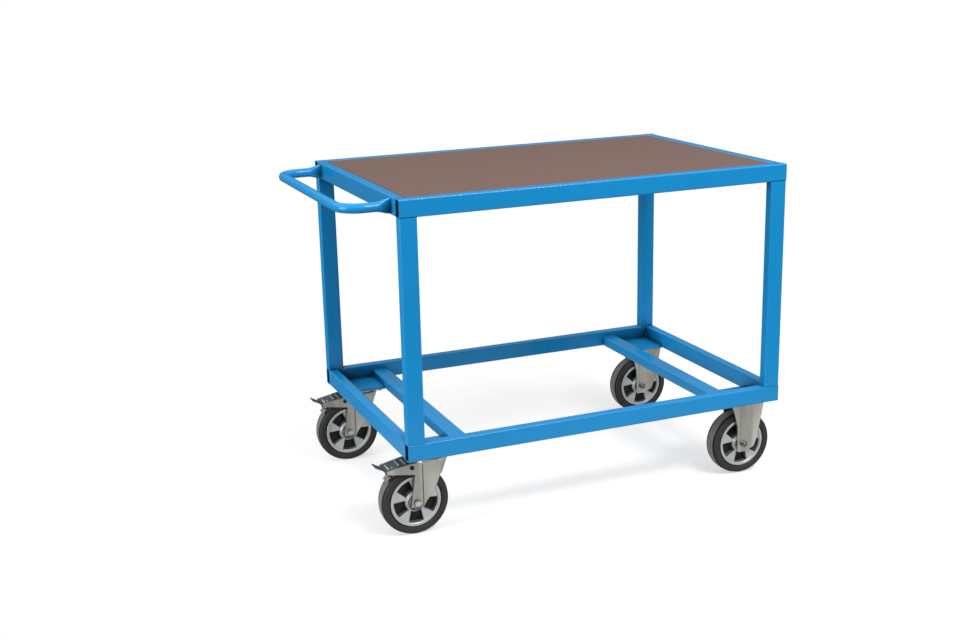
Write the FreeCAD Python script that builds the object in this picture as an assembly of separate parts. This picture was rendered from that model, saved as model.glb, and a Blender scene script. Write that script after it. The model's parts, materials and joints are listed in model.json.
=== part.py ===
import FreeCAD
import Part
import math
import os

# Mobile workbench: a welded table trolley on two braked swivel castors and two fixed castors.
# Millimetres. X runs along the bench with the push handle at -X, Y runs across it, Z is up.
# The origin is on the floor under the middle of the whole bench, handle included.

# Frame of rectangular steel tube
frame_length = 1200.0
frame_width = 800.0
leg_length = 630.0
tube_deep = 50.0
tube_narrow = 30.0
tube_wall = 2.5
tube_inner_corner = 1.5
castor_pocket = 120.0

# Castor mounting plates welded into the lower corners
mount_plate_thickness = 10.0
mount_plate_depth = 115.0

# Worktop board, its ledges, bearer and screws
board_thickness = 18.0
board_gap = 1.0
board_recess = 1.0
ledge_width = 25.0
ledge_thickness = 4.0
screws_per_ledge = 5
screw_end_inset = 90.0
screw_diameter = 4.5
screw_head_diameter = 9.0
screw_head_height = 3.0
screw_bite = 12.0

# Push handle of bent round tube with flattened ends
handle_diameter = 26.9
handle_wall = 2.6
handle_reach = 133.0
handle_span = 666.0
handle_bend_radius = 60.0
handle_flat_height = 42.0
handle_flat_thickness = 7.0
handle_flare_length = 38.0
handle_weld_length = 3.0

# Wheels: aluminium rim, rubber tyre, two ball bearings on an axle tube
wheel_diameter = 200.0
tyre_width = 50.0
tyre_shoulder = 7.0
tyre_groove_depth = 3.5
tyre_groove_width = 3.0
tyre_groove_slope = 0.3
tyre_side_slope = 1.0
tread_half_width = 19.0
rim_diameter = 150.0
rim_width = 47.0
rim_wall = 9.0
rim_face_depth = 3.0
spoke_count = 5
pocket_outer_width = 45.0
pocket_inner_width = 29.0
pocket_corner = 4.0
web_thickness = 8.0
hub_diameter = 54.0
hub_length = 56.0
bearing_diameter = 42.0
bearing_width = 12.0
axle_tube_diameter = 20.0
axle_diameter = 12.0

# Castor forks of pressed steel
fork_inside = 60.0
fork_sheet = 4.0
leg_rib = 1.0
leg_half_width = 18.0
leg_below_axle = 17.0
wheel_gap = 12.0
crown_thickness = 6.0
arch_gap = 7.0
castor_trail = 54.0
panel_inset = 4.0
swivel_nose = 50.5
swivel_flat = 18.5
swivel_slope = 0.37
swivel_flank = 24.0
swivel_flank_depth = 53.0
swivel_heel = 29.0
flank_round = 12.0
fixed_nose = 89.0
fixed_flat = 57.0
fixed_slope = 0.165
fixed_flank = 64.0
fixed_flank_depth = 100.0
fixed_heel = 38.0
fixed_heel_drop = 15.0
fixed_leg_front = 10.0
fixed_leg_back = 20.0
fixed_leg_below = 27.0
fixed_leg_round = 6.0
fixed_waist = 22.0
fixed_waist_height = 58.0
fixed_waist_round = 80.0
fixed_back_top = 44.0
fixed_crease = 13.0
fixed_strip_rise = 4.0
arm_reach = 85.0
arm_depth = 28.0
arm_tip_height = 8.0
arm_tip_drop = 11.0

# Castor plates, swivel bearing and fasteners
castor_plate_length = 140.0
castor_plate_width = 110.0
castor_plate_thickness = 5.0
castor_plate_corner = 10.0
castor_side_inset = 80.0
bolt_pitch_x = 100.0
bolt_pitch_y = 84.0
bolt_diameter = 8.0
bolt_hole = 9.0
bolt_flats = 13.0
bolt_head_height = 5.3
bolt_bite = 7.0
tapped_depth = 8.0
race_diameter = 92.0
race_bore = 58.0
lower_race_height = 3.0
race_cup_wall = 3.5
race_cup_gap = 0.5
race_cup_height = 9.0
upper_race_height = 5.8
ball_diameter = 8.0
ball_count = 20
king_pin_diameter = 16.0
king_pin_head = 28.0
king_pin_head_height = 7.0
axle_flats = 18.0
axle_head_height = 7.5
axle_nut_height = 10.0
axle_spare = 3.0

# Brake pedal, its pin and shoe
pivot_behind_axle = 12.0
pivot_above_tyre = 6.5
pin_diameter = 8.0
pin_head_diameter = 13.0
pin_head_height = 2.5
lug_thickness = 3.0
lug_radius = 7.5
pedal_side_gap = 0.8
pedal_rise = 6.5
pedal_length = 76.0
pedal_fall = 15.0
pedal_crown = 4.5
pedal_thickness = 4.0
pedal_skirt = 9.0
pedal_rib_places = (16.0, 34.0, 64.0)
pedal_rib_width = 3.0
pedal_rib_height = 1.5
pedal_rib_length = 44.0
blade_width = 34.0
blade_length = 25.0
blade_rise = 16.0
shoe_angle = 135.0
shoe_gap = 5.0
shoe_thickness = 4.0
shoe_width = 30.0
shoe_length = 16.0
shoe_stem = 5.0
shoe_stem_width = 16.0

# Small edge radius of cut plates
edge_round = 1.0

# Clearances
running_clearance = 0.05
seat_clearance = 0.02
slide_clearance = 0.3
ball_play = 0.1

# Heights worked out from the wheels upward
wheel_radius = wheel_diameter / 2
axle_z = wheel_radius
crown_underside = wheel_diameter + wheel_gap
crown_top = crown_underside + crown_thickness
lower_race_top = crown_top + lower_race_height
upper_race_bottom = lower_race_top + ball_diameter + 2 * ball_play
castor_plate_bottom = upper_race_bottom + upper_race_height
frame_bottom = castor_plate_bottom + castor_plate_thickness
leg_bottom = frame_bottom + tube_deep
leg_top = leg_bottom + leg_length
table_height = leg_top + tube_deep

# Places in plan; the frame is moved along X so that the whole bench is centred on the origin
half_length = frame_length / 2
half_width = frame_width / 2
side_inner = half_width - tube_narrow
end_inner = half_length - tube_narrow
castor_x = end_inner - castor_pocket / 2
wheel_overhang = max(0.0, castor_x + wheel_radius - half_length)
frame_x = (handle_reach + handle_diameter / 2 - wheel_overhang) / 2
left_end = frame_x - half_length
right_end = frame_x + half_length
castor_y = half_width - castor_side_inset
cross_x = end_inner - castor_pocket - tube_deep / 2
fork_half = fork_inside / 2 + fork_sheet
tube_outer_corner = tube_inner_corner + tube_wall


def vector(x, y, z):
    return FreeCAD.Vector(x, y, z)


def block(x0, x1, y0, y1, z0, z1):
    return Part.makeBox(x1 - x0, y1 - y0, z1 - z0, vector(x0, y0, z0))


def rod_y(radius, x, z, y0, y1):
    return Part.makeCylinder(radius, y1 - y0, vector(x, y0, z), vector(0, 1, 0))


def rod_z(radius, x, y, z0, z1):
    return Part.makeCylinder(radius, z1 - z0, vector(x, y, z0), vector(0, 0, 1))


def hexagon_prism(flats, start, along):
    """A hexagonal head or nut that starts at a point and rises along a vector."""
    corner = flats / math.sqrt(3)
    side = vector(1, 0, 0)
    other = along.cross(side).normalize()
    points = []
    for step in range(7):
        turn = math.radians(60 * step)
        points.append(start + side * (corner * math.cos(turn)) + other * (corner * math.sin(turn)))
    return Part.Face(Part.makePolygon(points)).extrude(along)


def rounded_wire(corners):
    """A closed wire through (point, radius) corners, each rounded by a tangent arc."""
    rounded = []
    count = len(corners)
    for index in range(count):
        point, radius = corners[index]
        before = (corners[index - 1][0] - point).normalize()
        after = (corners[(index + 1) % count][0] - point).normalize()
        half_turn = before.getAngle(after) / 2
        reach = radius / math.tan(half_turn)
        middle = (before + after).normalize() * (radius / math.sin(half_turn) - radius)
        rounded.append((point + before * reach, point + middle, point + after * reach))
    edges = []
    for index in range(count):
        start, middle, end = rounded[index]
        following = rounded[(index + 1) % count][0]
        edges.append(Part.Arc(start, middle, end).toShape())
        if end.distanceToPoint(following) > 1e-6:
            edges.append(Part.makeLine(end, following))
    return Part.Wire(edges)


def side_plate(outline, y0, y1):
    """A plate cut to an (x, z, corner radius) outline and standing between two Y planes."""
    corners = [(vector(x, y0, z), radius) for x, z, radius in outline]
    return Part.Face(rounded_wire(corners)).extrude(vector(0, y1 - y0, 0))


def rounded_bar(x0, x1, y0, y1, z0, z1, axis, radius):
    """A bar along one axis with its four long edges rounded."""
    bar = block(x0, x1, y0, y1, z0, z1)
    long_edges = []
    for edge in bar.Edges:
        direction = edge.Vertexes[1].Point - edge.Vertexes[0].Point
        if abs(direction.normalize()[axis]) > 0.5:
            long_edges.append(edge)
    return bar.makeFillet(radius, long_edges)


def tube(x0, x1, y0, y1, z0, z1, axis):
    """A rectangular tube along one axis, open at both ends."""
    inset = [tube_wall, tube_wall, tube_wall]
    inset[axis] = 0.0
    outer = rounded_bar(x0, x1, y0, y1, z0, z1, axis, tube_outer_corner)
    inner = rounded_bar(x0 + inset[0], x1 - inset[0], y0 + inset[1], y1 - inset[1],
                        z0 + inset[2], z1 - inset[2], axis, tube_inner_corner)
    return outer.cut(inner)


def revolve_y(profile):
    """A ring turned about the Y axis from an (radius, y) outline."""
    points = [vector(radius, y, 0) for radius, y in profile]
    face = Part.Face(Part.makePolygon(points + points[:1]))
    return face.revolve(vector(0, 0, 0), vector(0, 1, 0), 360)


def save(node, shape):
    """Write one sub-part; a list of solids becomes a group."""
    if isinstance(shape, list):
        shape = Part.makeCompound(shape)
    shape.exportStep("parts/" + node + ".step")


# Frame
def build_frame():
    for side, sign in (("front", -1), ("rear", 1)):
        y0, y1 = sorted((sign * side_inner, sign * half_width))
        save("top_rail_" + side, tube(left_end, right_end, y0, y1, leg_top, table_height, 0))
        save("lower_rail_" + side, tube(left_end, right_end, y0, y1, frame_bottom, leg_bottom, 0))
        for end, way in (("left", -1), ("right", 1)):
            x0, x1 = sorted((way * half_length, way * (half_length - tube_deep)))
            leg = tube(frame_x + x0, frame_x + x1, y0, y1, leg_bottom, leg_top, 2)
            save("leg_" + side + "_" + end, leg)
    for end, way in (("left", -1), ("right", 1)):
        x0, x1 = sorted((way * end_inner, way * half_length))
        x0, x1 = frame_x + x0, frame_x + x1
        save("top_rail_" + end, tube(x0, x1, -side_inner, side_inner, leg_top, table_height, 1))
        save("lower_rail_" + end, tube(x0, x1, -side_inner, side_inner, frame_bottom, leg_bottom, 1))
        middle = frame_x + way * cross_x
        cross = tube(middle - tube_deep / 2, middle + tube_deep / 2, -side_inner, side_inner,
                     frame_bottom, frame_bottom + tube_narrow, 1)
        save("cross_member_" + end, cross)


# Castor places
def castor_places():
    """Yield (name, x, y) for each castor, the two swivel castors first."""
    for end, way in (("left", -1), ("right", 1)):
        for side, sign in (("front", -1), ("rear", 1)):
            yield side + "_" + end, frame_x + way * castor_x, sign * castor_y


def bolt_places(x, y):
    for across in (-1, 1):
        for along in (-1, 1):
            yield x + along * bolt_pitch_x / 2, y + across * bolt_pitch_y / 2


def build_mount_plates():
    plates = []
    for name, x, y in castor_places():
        sign = math.copysign(1, y)
        y0, y1 = sorted((sign * side_inner, sign * (side_inner - mount_plate_depth)))
        plate = block(x - castor_pocket / 2, x + castor_pocket / 2, y0, y1,
                      frame_bottom, frame_bottom + mount_plate_thickness)
        for hole_x, hole_y in bolt_places(x, y):
            plate = plate.cut(rod_z(bolt_diameter / 2 + running_clearance, hole_x, hole_y,
                                    frame_bottom, frame_bottom + tapped_depth))
        plates.append(plate)
    save("castor_mount_plates", plates)


def build_castor_bolts():
    """Bolts that go up through the castor plates into blind tapped holes in the mounting plates."""
    bolts = []
    for name, castor_middle_x, castor_middle_y in castor_places():
        for x, y in bolt_places(castor_middle_x, castor_middle_y):
            head = hexagon_prism(bolt_flats, vector(x, y, castor_plate_bottom - bolt_head_height),
                                 vector(0, 0, bolt_head_height))
            shank = rod_z(bolt_diameter / 2, x, y, castor_plate_bottom, frame_bottom + bolt_bite)
            bolts.append(head.fuse(shank))
    save("castor_bolts", bolts)


# Worktop
def build_worktop():
    board_top = table_height - board_recess
    board_bottom = board_top - board_thickness
    board = block(frame_x - end_inner + board_gap, frame_x + end_inner - board_gap,
                  -side_inner + board_gap, side_inner - board_gap, board_bottom, board_top)
    ledge_bottom = board_bottom - ledge_thickness
    spread = 2 * (end_inner - screw_end_inset)
    screws = []
    for side, sign in (("front", -1), ("rear", 1)):
        y0, y1 = sorted((sign * side_inner, sign * (side_inner - ledge_width)))
        ledge = block(frame_x - end_inner, frame_x + end_inner, y0, y1, ledge_bottom, board_bottom)
        for index in range(screws_per_ledge):
            x = frame_x - spread / 2 + spread * index / (screws_per_ledge - 1)
            y = (y0 + y1) / 2
            hole = rod_z(screw_diameter / 2 + running_clearance, x, y, ledge_bottom,
                         board_bottom + screw_bite + running_clearance)
            ledge = ledge.cut(hole)
            board = board.cut(hole)
            head = rod_z(screw_head_diameter / 2, x, y, ledge_bottom - screw_head_height, ledge_bottom)
            screws.append(head.fuse(rod_z(screw_diameter / 2, x, y, ledge_bottom, board_bottom + screw_bite)))
        save("board_ledge_" + side, ledge)
    save("worktop_board", board)
    save("board_screws", screws)
    bearer_end = side_inner - ledge_width
    bearer = tube(frame_x - tube_deep / 2, frame_x + tube_deep / 2, -bearer_end, bearer_end,
                  board_bottom - tube_narrow, board_bottom, 1)
    save("board_bearer", bearer)


# Push handle
def handle_path(end_x):
    """The middle line of the tube between its two flattened ends."""
    z = leg_top + tube_deep / 2
    grip_x = left_end - handle_reach
    arm_y = handle_span / 2
    bend = handle_bend_radius
    slack = bend * (1 - math.sqrt(0.5))
    near_arc = Part.Arc(vector(grip_x + bend, -arm_y, z), vector(grip_x + slack, -arm_y + slack, z),
                        vector(grip_x, -arm_y + bend, z))
    far_arc = Part.Arc(vector(grip_x, arm_y - bend, z), vector(grip_x + slack, arm_y - slack, z),
                       vector(grip_x + bend, arm_y, z))
    return Part.Wire([
        Part.makeLine(vector(end_x, -arm_y, z), vector(grip_x + bend, -arm_y, z)),
        near_arc.toShape(),
        Part.makeLine(vector(grip_x, -arm_y + bend, z), vector(grip_x, arm_y - bend, z)),
        far_arc.toShape(),
        Part.makeLine(vector(grip_x + bend, arm_y, z), vector(end_x, arm_y, z))])


def flattened_section(x, y, z, height, thickness):
    """An upright oval of four arcs across the tube; equal height and thickness make a circle."""
    points = []
    for step in range(8):
        turn = math.radians(45 * step + 45)
        points.append(vector(x, y + thickness / 2 * math.cos(turn), z + height / 2 * math.sin(turn)))
    return Part.Wire([Part.Arc(points[start], points[start + 1], points[(start + 2) % 8]).toShape()
                      for start in (0, 2, 4, 6)])


def build_handle():
    z = leg_top + tube_deep / 2
    neck_x = left_end - handle_weld_length - handle_flare_length
    flat_x = left_end - handle_weld_length
    path = handle_path(neck_x)
    start = vector(neck_x, -handle_span / 2, z)
    tubes = []
    for diameter in (handle_diameter, handle_diameter - 2 * handle_wall):
        circle = Part.Wire(Part.makeCircle(diameter / 2, start, vector(1, 0, 0)))
        tubes.append(path.makePipeShell([circle], True, True))
    handle = tubes[0].cut(tubes[1])
    for y in (-handle_span / 2, handle_span / 2):
        round_end = flattened_section(neck_x, y, z, handle_diameter, handle_diameter)
        mid_x = neck_x + handle_flare_length / 2
        mid_height = (handle_diameter + handle_flat_height) / 2
        mid_thickness = (handle_diameter + handle_flat_thickness) / 2
        middle = flattened_section(mid_x, y, z, mid_height, mid_thickness)
        flat_end = flattened_section(flat_x, y, z, handle_flat_height, handle_flat_thickness)
        flare = Part.makeLoft([round_end, middle, flat_end], True, False)
        weld = Part.Face(flat_end).extrude(vector(handle_weld_length, 0, 0))
        handle = handle.fuse(flare).fuse(weld)
    save("push_handle", handle.removeSplitter())


# Wheel pieces, made about the origin with the axle along Y
def wheel_rim():
    outer = rim_diameter / 2
    inner = outer - rim_wall
    hub = hub_diameter / 2
    face = rim_width / 2 - rim_face_depth
    profile = [(bearing_diameter / 2, -hub_length / 2), (hub, -hub_length / 2), (hub, -face), (inner, -face),
               (inner + rim_wall / 3, -rim_width / 2), (outer, -rim_width / 2),
               (outer, rim_width / 2), (inner + rim_wall / 3, rim_width / 2), (inner, face), (hub, face),
               (hub, hub_length / 2), (bearing_diameter / 2, hub_length / 2)]
    rim = revolve_y(profile)
    pocket_in = hub + rim_wall / 2
    for side in (-1, 1):
        y0, y1 = sorted((side * web_thickness / 2, side * (face + rim_face_depth)))
        for index in range(spoke_count):
            corners = [(pocket_in, -pocket_inner_width / 2, pocket_corner),
                       (inner, -pocket_outer_width / 2, pocket_corner),
                       (inner, pocket_outer_width / 2, pocket_corner),
                       (pocket_in, pocket_inner_width / 2, pocket_corner)]
            pocket = side_plate(corners, y0, y1).common(rod_y(inner, 0, 0, y0, y1))
            turn = 90.0 + 360.0 * index / spoke_count
            rim = rim.cut(pocket.rotate(vector(0, 0, 0), vector(0, 1, 0), turn))
    return rim


def wheel_tyre():
    bore = rim_diameter / 2 + seat_clearance
    half = tyre_width / 2
    groove = tread_half_width + tyre_groove_width
    groove_floor = wheel_radius - tyre_groove_depth
    shoulder_radius = wheel_radius - (half - groove) / 2
    right_half = [(wheel_radius, tread_half_width), (groove_floor, tread_half_width + tyre_groove_slope),
                  (groove_floor, groove - tyre_groove_slope), (wheel_radius - tyre_groove_slope, groove),
                  (shoulder_radius, half - tyre_side_slope), (shoulder_radius - tyre_shoulder, half),
                  (bore + tyre_groove_width, half), (bore + tyre_groove_width / 2, half - tyre_groove_depth),
                  (bore, half - tyre_groove_depth)]
    left_half = [(radius, -y) for radius, y in reversed(right_half)]
    return revolve_y(left_half + right_half)


def wheel_bearings():
    """Two sealed ball bearings at the ends of the hub."""
    bore = axle_tube_diameter / 2 + running_clearance
    outside = bearing_diameter / 2 - seat_clearance
    bearings = []
    for y0 in (-hub_length / 2, hub_length / 2 - bearing_width):
        y1 = y0 + bearing_width
        bearings.append(rod_y(outside, 0, 0, y0, y1).cut(rod_y(bore, 0, 0, y0, y1)))
    return bearings


def axle_tube():
    half = fork_inside / 2
    return rod_y(axle_tube_diameter / 2, 0, 0, -half, half).cut(
        rod_y(axle_diameter / 2 + running_clearance, 0, 0, -half, half))


def axle_bolt(head_side, end):
    """The axle bolt, its head on the -Y side for head_side -1, clamped between cheeks at +-end."""
    along = vector(0, head_side * axle_head_height, 0)
    head = hexagon_prism(axle_flats, vector(0, head_side * end, 0), along)
    y0, y1 = sorted((head_side * end, -head_side * (end + axle_nut_height + axle_spare)))
    return head.fuse(rod_y(axle_diameter / 2, 0, 0, y0, y1))


def axle_nut(head_side, end):
    along = vector(0, -head_side * axle_nut_height, 0)
    nut = hexagon_prism(axle_flats, vector(0, -head_side * end, 0), along)
    y0, y1 = sorted((-head_side * end, -head_side * (end + axle_nut_height)))
    return nut.cut(rod_y(axle_diameter / 2 + running_clearance, 0, 0, y0, y1))


# Fork pieces, made about the castor's upright axis with the nose at +X
def nose_block(back, flat, nose, half, z0, z1, slope):
    """A block with straight sides and half an ellipse for its nose, raked back as it goes down."""
    curve = Part.BSplineCurve()
    turns = [math.radians(angle) for angle in range(-90, 91, 15)]
    curve.interpolate([vector(flat + (nose - flat) * math.cos(turn), half * math.sin(turn), z1)
                       for turn in turns])
    low = vector(flat, -half, z1)
    high = vector(flat, half, z1)
    back_low = vector(back, -half, z1)
    back_high = vector(back, half, z1)
    wire = Part.Wire([Part.makeLine(back_low, low), curve.toShape(), Part.makeLine(high, back_high),
                      Part.makeLine(back_high, back_low)])
    return Part.Face(wire).extrude(vector(slope * (z0 - z1), 0, z0 - z1))


def castor_plate():
    """The bolted top plate of a castor."""
    plate = rounded_bar(-castor_plate_length / 2, castor_plate_length / 2,
                        -castor_plate_width / 2, castor_plate_width / 2,
                        castor_plate_bottom, frame_bottom, 2, castor_plate_corner)
    for x, y in bolt_places(0, 0):
        plate = plate.cut(rod_z(bolt_hole / 2, x, y, castor_plate_bottom, frame_bottom))
    return plate


def wheel_arch(axle_x):
    """The room that the turning wheel needs inside a fork."""
    half = (tyre_width / 2 + fork_inside / 2) / 2
    return rod_y(wheel_radius + arch_gap, axle_x, axle_z, -half, half)


def fork_shell(back, flat, nose, slope, top, ceiling):
    """Two cheeks joined by a rounded raked nose, open below and behind, hollow up to the ceiling."""
    low = axle_z - wheel_radius
    outer = nose_block(back, flat, nose, fork_half, low, top, slope)
    shift = slope * (top - ceiling)
    inner_nose = nose - fork_sheet - shift
    inner = nose_block(2 * back, flat - shift, inner_nose, fork_inside / 2, low, ceiling, slope)
    return outer.cut(inner)


def raised_panels(outline):
    """A pressed panel standing proud of both cheeks."""
    outer = fork_half + leg_rib
    return [side_plate(outline, fork_half, outer), side_plate(outline, -outer, -fork_half)]


def axle_hole(axle_x):
    outer = fork_half + leg_rib
    return rod_y(axle_diameter / 2 + running_clearance, axle_x, axle_z, -outer, outer)


def race_cup():
    """The lower ball race, a shallow cup whose wall hides the balls."""
    inner = race_diameter / 2 + race_cup_gap
    cup = rod_z(inner + race_cup_wall, 0, 0, crown_top, crown_top + race_cup_height)
    return cup.cut(rod_z(inner, 0, 0, lower_race_top, crown_top + race_cup_height))


def swivel_fork():
    axle_x = -castor_trail
    low = axle_z - leg_below_axle
    crease = axle_x + leg_half_width
    tip_x = axle_x - arm_reach
    tip_z = crown_underside - arm_tip_drop
    back_of_crown = pivot_x + lug_radius + slide_clearance
    arm = [(axle_x - leg_half_width / 6, crown_underside - arm_depth, fork_sheet),
           (tip_x, tip_z - arm_tip_height / 2, edge_round), (tip_x, tip_z + arm_tip_height / 2, edge_round),
           (pivot_x - lug_radius, crown_top, lug_radius)]
    leg = [(crease, crown_top, edge_round), (crease, low, leg_half_width / 2),
           (axle_x - leg_half_width, low, leg_half_width / 2)]
    panel_low = low + panel_inset
    panel = [(crease, crown_top, edge_round), (crease, panel_low, leg_half_width / 2),
             (axle_x - leg_half_width, panel_low, edge_round)]
    flank = [(swivel_nose + edge_round, crown_top, edge_round),
             (swivel_flank, crown_top - swivel_flank_depth, flank_round),
             (axle_x + swivel_heel, axle_z, flank_round), (crease, low, edge_round),
             (axle_x, low, edge_round), (axle_x, crown_top, edge_round)]
    outer = fork_half + leg_rib
    sides = side_plate(leg + arm, -outer, outer).fuse(side_plate(flank, -outer, outer))
    fork = fork_shell(tip_x - arm_reach, swivel_flat, swivel_nose, swivel_slope, crown_top, crown_underside)
    fork = fork.common(sides)
    fork = fork.cut(wheel_arch(axle_x))
    half_inside = fork_inside / 2
    fork = fork.cut(block(tip_x, back_of_crown, -half_inside, half_inside, crown_underside, crown_top))
    for plate in raised_panels(panel + arm):
        fork = fork.fuse(plate)
    fork = fork.fuse(race_cup())
    fork = fork.cut(rod_z(king_pin_diameter / 2 + running_clearance, 0, 0, crown_underside, lower_race_top))
    fork = fork.cut(rod_y(pin_diameter / 2 + running_clearance, pivot_x, pivot_z, -outer, outer))
    return fork.cut(axle_hole(axle_x)).removeSplitter()


def swivel_plate():
    upper_race = rod_z(race_diameter / 2, 0, 0, upper_race_bottom, castor_plate_bottom)
    upper_race = upper_race.cut(rod_z(race_bore / 2, 0, 0, upper_race_bottom, castor_plate_bottom))
    hole = rod_z(king_pin_diameter / 2 + seat_clearance, 0, 0, castor_plate_bottom, frame_bottom)
    return castor_plate().fuse(upper_race).cut(hole).removeSplitter()


def king_pin():
    head_top = crown_underside - slide_clearance
    head = rod_z(king_pin_head / 2, 0, 0, head_top - king_pin_head_height, head_top)
    return head.fuse(rod_z(king_pin_diameter / 2, 0, 0, head_top, frame_bottom))


def swivel_balls():
    ring_radius = (race_diameter + race_bore) / 4
    z = lower_race_top + ball_play + ball_diameter / 2
    balls = []
    for index in range(ball_count):
        turn = 2 * math.pi * index / ball_count
        place = vector(ring_radius * math.cos(turn), ring_radius * math.sin(turn), z)
        balls.append(Part.makeSphere(ball_diameter / 2, place))
    return balls


def fixed_fork():
    low = axle_z - fixed_leg_below
    top = castor_plate_bottom
    sides = [(fixed_nose + edge_round, top, edge_round),
             (fixed_flank, top - fixed_flank_depth, flank_round),
             (fixed_heel, axle_z - fixed_heel_drop, flank_round), (fixed_leg_front, low, fixed_leg_round),
             (-fixed_leg_back, low, fixed_leg_round),
             (-fixed_waist, axle_z + fixed_waist_height, fixed_waist_round), (-fixed_back_top, top, edge_round)]
    outer = fork_half + leg_rib
    fork = fork_shell(-2 * fixed_back_top, fixed_flat, fixed_nose, fixed_slope, top, top - fork_sheet)
    fork = fork.common(side_plate(sides, -outer, outer)).cut(wheel_arch(0))
    strip = block(-2 * fixed_back_top, -fixed_crease, -outer, outer, axle_z - fixed_strip_rise, top)
    for plate in raised_panels(sides):
        fork = fork.fuse(plate.common(strip))
    return fork.fuse(castor_plate()).cut(axle_hole(0)).removeSplitter()


# Brake pieces, made about the same upright axis
pivot_x = -castor_trail - pivot_behind_axle
pivot_z = wheel_diameter + pivot_above_tyre
pedal_half = fork_inside / 2 - pedal_side_gap
pedal_front = (pivot_x, pivot_z + pedal_rise)
pedal_end = (pivot_x - pedal_length, pivot_z + pedal_rise - pedal_fall)
pedal_middle = (pivot_x - pedal_length / 2, pivot_z + pedal_rise - pedal_fall / 2 + pedal_crown)


def pedal_underside(x):
    """Height of the pedal plate's underside, which bends once at its middle."""
    start, end = (pedal_front, pedal_middle) if x > pedal_middle[0] else (pedal_middle, pedal_end)
    share = (x - start[0]) / (end[0] - start[0])
    return start[1] + share * (end[1] - start[1])


def brake_pedal():
    under = [pedal_front, pedal_middle, pedal_end]
    plate_outline = [(x, z, edge_round) for x, z in under]
    plate_outline += [(x, z + pedal_thickness, edge_round) for x, z in reversed(under)]
    pedal = side_plate(plate_outline, -pedal_half, pedal_half)
    root = (pedal_end[0] + pedal_thickness, pedal_underside(pedal_end[0] + pedal_thickness))
    tip = (pedal_end[0] - blade_length, pedal_end[1] + blade_rise)
    blade = [(root[0], root[1], edge_round), (tip[0], tip[1], edge_round),
             (tip[0], tip[1] + pedal_thickness, edge_round), (root[0], root[1] + pedal_thickness, edge_round)]
    pedal = pedal.fuse(side_plate(blade, -blade_width / 2, blade_width / 2))
    lug_front = pivot_x + lug_radius
    lug = [(lug_front, pivot_z - lug_radius, lug_radius / 2),
           (lug_front, pedal_front[1] + pedal_thickness, edge_round),
           (pivot_x, pedal_front[1] + pedal_thickness, edge_round),
           (pedal_middle[0], pedal_middle[1] + pedal_thickness / 2, edge_round),
           (pedal_end[0], pedal_end[1] + pedal_thickness / 2, edge_round),
           (pedal_end[0], pedal_end[1] - pedal_skirt / 2, edge_round),
           (pedal_middle[0], pedal_middle[1] - pedal_skirt, pedal_skirt),
           (pivot_x - lug_radius, pivot_z - lug_radius, lug_radius / 2)]
    for y0 in (-pedal_half, pedal_half - lug_thickness):
        pedal = pedal.fuse(side_plate(lug, y0, y0 + lug_thickness))
    for behind in pedal_rib_places:
        x = pivot_x - behind
        z = pedal_underside(x)
        rib = block(x - pedal_rib_width / 2, x + pedal_rib_width / 2,
                    -pedal_rib_length / 2, pedal_rib_length / 2,
                    z + pedal_thickness / 2, z + pedal_thickness + pedal_rib_height)
        pedal = pedal.fuse(rib)
    hole = rod_y(pin_diameter / 2 + running_clearance, pivot_x, pivot_z, -pedal_half, pedal_half)
    return pedal.cut(hole).removeSplitter()


def pedal_pin():
    end = fork_half + leg_rib
    pin = rod_y(pin_diameter / 2, pivot_x, pivot_z, -end, end)
    for y0 in (-end - pin_head_height, end):
        pin = pin.fuse(rod_y(pin_head_diameter / 2, pivot_x, pivot_z, y0, y0 + pin_head_height))
    return pin


def brake_shoe(pedal):
    """The shoe above the tyre, on a stem that meets the underside of the pedal."""
    turn = math.radians(shoe_angle)
    distance = wheel_radius + shoe_gap + shoe_thickness / 2
    x = -castor_trail + distance * math.cos(turn)
    z = axle_z + distance * math.sin(turn)
    shoe = block(-shoe_thickness / 2, shoe_thickness / 2, -shoe_width / 2, shoe_width / 2,
                 -shoe_length / 2, shoe_length / 2)
    shoe.rotate(vector(0, 0, 0), vector(0, 1, 0), -shoe_angle)
    shoe.translate(vector(x, 0, z))
    stem = block(x - shoe_stem / 2, x + shoe_stem / 2, -shoe_stem_width / 2, shoe_stem_width / 2,
                 z, pedal_underside(x) + pedal_thickness / 2)
    return shoe.fuse(stem).cut(pedal).removeSplitter()


# Castors
def placed(shape, x, y, z=0.0):
    if isinstance(shape, list):
        return [placed(solid, x, y, z) for solid in shape]
    return shape.translated(vector(x, y, z))


def build_wheel(name, x, y):
    save("rim_" + name, placed(wheel_rim(), x, y, axle_z))
    save("tyre_" + name, placed(wheel_tyre(), x, y, axle_z))
    save("wheel_bearings_" + name, placed(wheel_bearings(), x, y, axle_z))


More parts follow.
